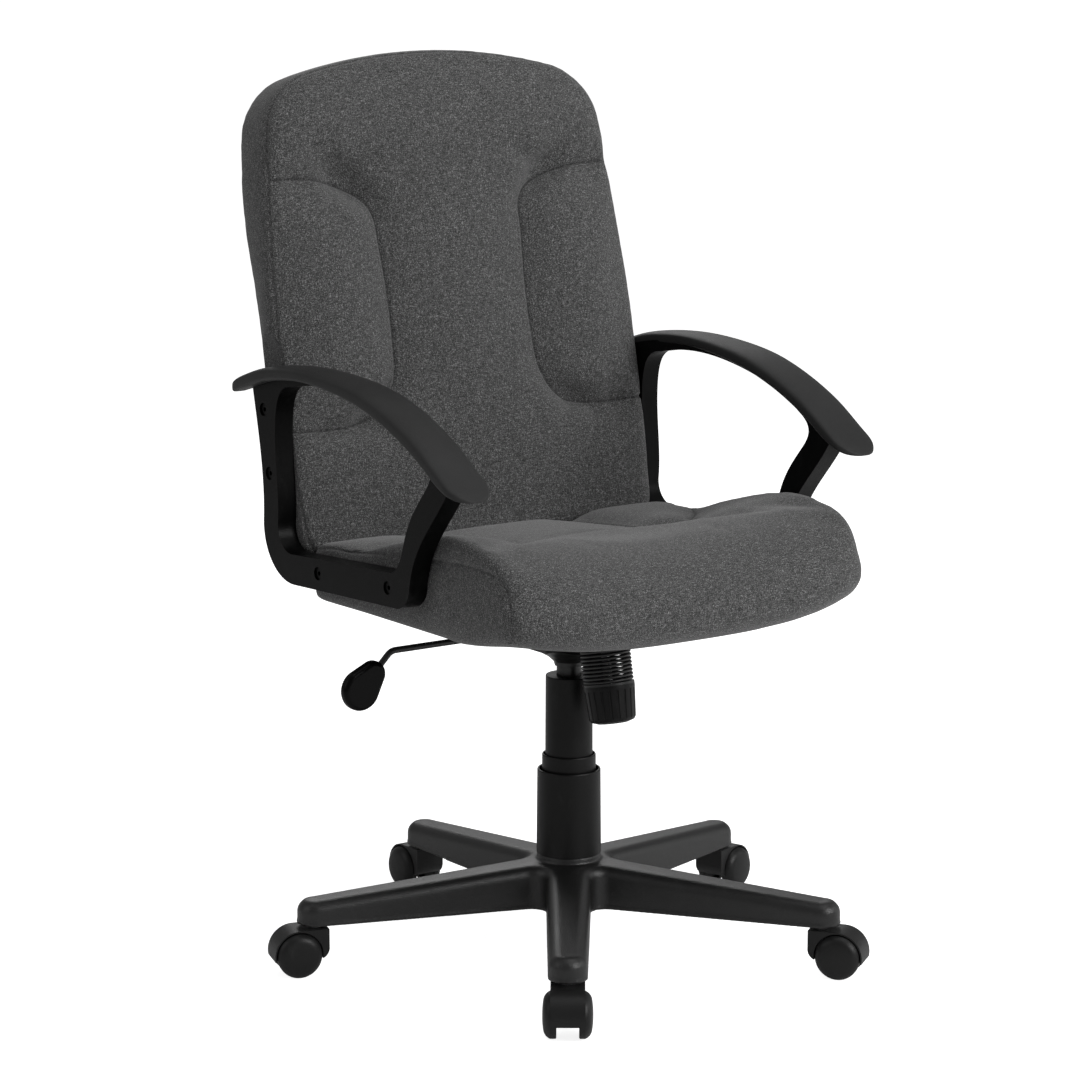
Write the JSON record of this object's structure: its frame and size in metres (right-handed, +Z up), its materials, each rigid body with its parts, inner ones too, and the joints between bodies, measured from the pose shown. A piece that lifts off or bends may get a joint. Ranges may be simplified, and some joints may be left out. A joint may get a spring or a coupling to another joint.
{
  "type": "swivel office chair",
  "caption": "Mid-back swivel office chair with padded fabric seat and back, moulded loop arms, gas lift, tilt mechanism and a five-leg base on twin-wheel casters.",
  "frame": {"origin": "on the floor, under the swivel axis of the seat", "axes": "+Z up, the chair faces -Y, +X is the sitter's left"},
  "size_m": [0.6646, 0.6321, 0.9944],
  "materials": {
    "grey_fabric": "charcoal heather twill",
    "dust_cloth": "thin black non-woven",
    "black_nylon": "grained black nylon",
    "arm_nylon": "satin black nylon",
    "arm_pad": "fine matt black skin",
    "caster_nylon": "satin black nylon",
    "caster_wheel": "satin black nylon",
    "gloss_black": "polished black",
    "bush_plastic": "natural acetal",
    "black_steel": "black coated steel",
    "plain_steel": "zinc plated",
    "plywood": "bare plywood"
  },
  "bodies": {
    "base": {"base_star": "black_nylon", "caster_sockets": "plain_steel", "column_cover_lower": "black_nylon", "gas_lift_outer_tube": "black_steel", "gas_lift_guide_bush": "bush_plastic", "gas_lift_thrust_bearing": "plain_steel"},
    "middle_cover": {"column_cover_middle": "black_nylon"},
    "piston": {"gas_lift_piston_rod": "plain_steel", "gas_lift_retaining_clip": "plain_steel"},
    "lift": {"gas_lift_cylinder": "black_steel", "mechanism_housing": "black_steel", "column_cover_upper": "black_nylon", "tilt_axle": "plain_steel", "tension_spring": "black_steel"},
    "button": {"gas_lift_release_button": "plain_steel"},
    "seat": {"seat_plate": "black_steel", "seat_plate_bolts": "plain_steel", "tension_bolt": "plain_steel", "tension_washer": "plain_steel", "seat_board": "plywood", "seat_side_rails": "plywood", "seat_underside_cover": "dust_cloth", "seat_cushion": "grey_fabric", "back_board": "plywood", "back_cushion": "grey_fabric", "arm_frame_left": "arm_nylon", "arm_frame_right": "arm_nylon", "arm_pad_left": "arm_pad", "arm_pad_right": "arm_pad", "arm_bolts": "plain_steel"},
    "knob": {"tension_knob": "black_nylon"},
    "lever_pivot": {"lever_pivot_bush": "bush_plastic"},
    "lever": {"lever_rod": "black_steel", "lever_paddle": "gloss_black"},
    "lock_plate": {"tilt_lock_plate": "plain_steel"},
    "caster_1": {"caster_1_hood": "caster_nylon", "caster_1_stem": "plain_steel", "caster_1_axle": "plain_steel"},
    "wheel_1_a": {"caster_1_wheel_a": "caster_wheel"},
    "wheel_1_b": {"caster_1_wheel_b": "caster_wheel"},
    "caster_2": {"caster_2_hood": "caster_nylon", "caster_2_stem": "plain_steel", "caster_2_axle": "plain_steel"},
    "wheel_2_a": {"caster_2_wheel_a": "caster_wheel"},
    "wheel_2_b": {"caster_2_wheel_b": "caster_wheel"},
    "caster_3": {"caster_3_hood": "caster_nylon", "caster_3_stem": "plain_steel", "caster_3_axle": "plain_steel"},
    "wheel_3_a": {"caster_3_wheel_a": "caster_wheel"},
    "wheel_3_b": {"caster_3_wheel_b": "caster_wheel"},
    "caster_4": {"caster_4_hood": "caster_nylon", "caster_4_stem": "plain_steel", "caster_4_axle": "plain_steel"},
    "wheel_4_a": {"caster_4_wheel_a": "caster_wheel"},
    "wheel_4_b": {"caster_4_wheel_b": "caster_wheel"},
    "caster_5": {"caster_5_hood": "caster_nylon", "caster_5_stem": "plain_steel", "caster_5_axle": "plain_steel"},
    "wheel_5_a": {"caster_5_wheel_a": "caster_wheel"},
    "wheel_5_b": {"caster_5_wheel_b": "caster_wheel"}
  },
  "joints": [
    {"name": "seat_swivel", "type": "hinge", "parent": "base", "child": "piston", "pos_m": [0, 0, 0.05], "axis": [0, 0, 1], "continuous": true},
    {"name": "seat_height", "type": "slide", "parent": "piston", "child": "lift", "axis": [0, 0, 1], "range_m": [0, 0.1]},
    {"name": "middle_cover_rise", "type": "slide", "parent": "base", "child": "middle_cover", "axis": [0, 0, 1], "range_m": [0, 0.05]},
    {"name": "seat_tilt", "type": "hinge", "parent": "lift", "child": "seat", "pos_m": [0, -0.018, 0.378], "axis": [-1, 0, 0], "range_deg": [0, 11], "stiffness_Nm_per_rad": 140, "springref_deg": -8.59, "deforming": ["tension_spring"]},
    {"name": "tension_knob_turn", "type": "hinge", "parent": "seat", "child": "knob", "pos_m": [0, -0.08276, 0.27707], "axis": [0, 0.1908, 0.9816], "range_deg": [-720, 720]},
    {"name": "lever_lift", "type": "hinge", "parent": "lift", "child": "lever_pivot", "pos_m": [-0.058, 0, 0.374], "axis": [0, 1, 0], "range_deg": [0, 3.5], "stiffness_Nm_per_rad": 2, "springref_deg": -2.86},
    {"name": "lever_pull", "type": "slide", "parent": "lever_pivot", "child": "lever", "axis": [-1, 0, 0], "range_m": [0, 0.012]},
    {"name": "tilt_lock", "type": "slide", "parent": "lift", "child": "lock_plate", "axis": [-1, 0, 0], "range_m": [0, 0.012]},
    {"name": "button_press", "type": "slide", "parent": "lift", "child": "button", "axis": [0, 0, -1], "range_m": [0, 0.0038]},
    {"name": "caster_1_swivel", "type": "hinge", "parent": "base", "child": "caster_1", "pos_m": [0, 0.293, 0.06], "axis": [0, 0, 1], "continuous": true},
    {"name": "wheel_1_a_spin", "type": "hinge", "parent": "caster_1", "child": "wheel_1_a", "pos_m": [0, 0.3155, 0.025], "axis": [-1, 0, 0], "continuous": true},
    {"name": "wheel_1_b_spin", "type": "hinge", "parent": "caster_1", "child": "wheel_1_b", "pos_m": [0, 0.3155, 0.025], "axis": [-1, 0, 0], "continuous": true},
    {"name": "caster_2_swivel", "type": "hinge", "parent": "base", "child": "caster_2", "pos_m": [-0.27866, 0.09054, 0.06], "axis": [0, 0, 1], "continuous": true},
    {"name": "wheel_2_a_spin", "type": "hinge", "parent": "caster_2", "child": "wheel_2_a", "pos_m": [-0.30006, 0.09749, 0.025], "axis": [-0.309, -0.9511, 0], "continuous": true},
    {"name": "wheel_2_b_spin", "type": "hinge", "parent": "caster_2", "child": "wheel_2_b", "pos_m": [-0.30006, 0.09749, 0.025], "axis": [-0.309, -0.9511, 0], "continuous": true},
    {"name": "caster_3_swivel", "type": "hinge", "parent": "base", "child": "caster_3", "pos_m": [-0.17222, -0.23704, 0.06], "axis": [0, 0, 1], "continuous": true},
    {"name": "wheel_3_a_spin", "type": "hinge", "parent": "caster_3", "child": "wheel_3_a", "pos_m": [-0.18545, -0.25524, 0.025], "axis": [0.809, -0.5878, 0], "continuous": true},
    {"name": "wheel_3_b_spin", "type": "hinge", "parent": "caster_3", "child": "wheel_3_b", "pos_m": [-0.18545, -0.25524, 0.025], "axis": [0.809, -0.5878, 0], "continuous": true},
    {"name": "caster_4_swivel", "type": "hinge", "parent": "base", "child": "caster_4", "pos_m": [0.17222, -0.23704, 0.06], "axis": [0, 0, 1], "continuous": true},
    {"name": "wheel_4_a_spin", "type": "hinge", "parent": "caster_4", "child": "wheel_4_a", "pos_m": [0.18545, -0.25524, 0.025], "axis": [0.809, 0.5878, 0], "continuous": true},
    {"name": "wheel_4_b_spin", "type": "hinge", "parent": "caster_4", "child": "wheel_4_b", "pos_m": [0.18545, -0.25524, 0.025], "axis": [0.809, 0.5878, 0], "continuous": true},
    {"name": "caster_5_swivel", "type": "hinge", "parent": "base", "child": "caster_5", "pos_m": [0.27866, 0.09054, 0.06], "axis": [0, 0, 1], "continuous": true},
    {"name": "wheel_5_a_spin", "type": "hinge", "parent": "caster_5", "child": "wheel_5_a", "pos_m": [0.30006, 0.09749, 0.025], "axis": [-0.309, 0.9511, 0], "continuous": true},
    {"name": "wheel_5_b_spin", "type": "hinge", "parent": "caster_5", "child": "wheel_5_b", "pos_m": [0.30006, 0.09749, 0.025], "axis": [-0.309, 0.9511, 0], "continuous": true}
  ],
  "couplings": [
    {"joint": "middle_cover_rise", "follows": "seat_height", "ratio": 0.5},
    {"joint": "tilt_lock", "follows": "lever_pull", "ratio": 1},
    {"joint": "button_press", "follows": "lever_lift", "m_per_rad": 0.0605}
  ]
}
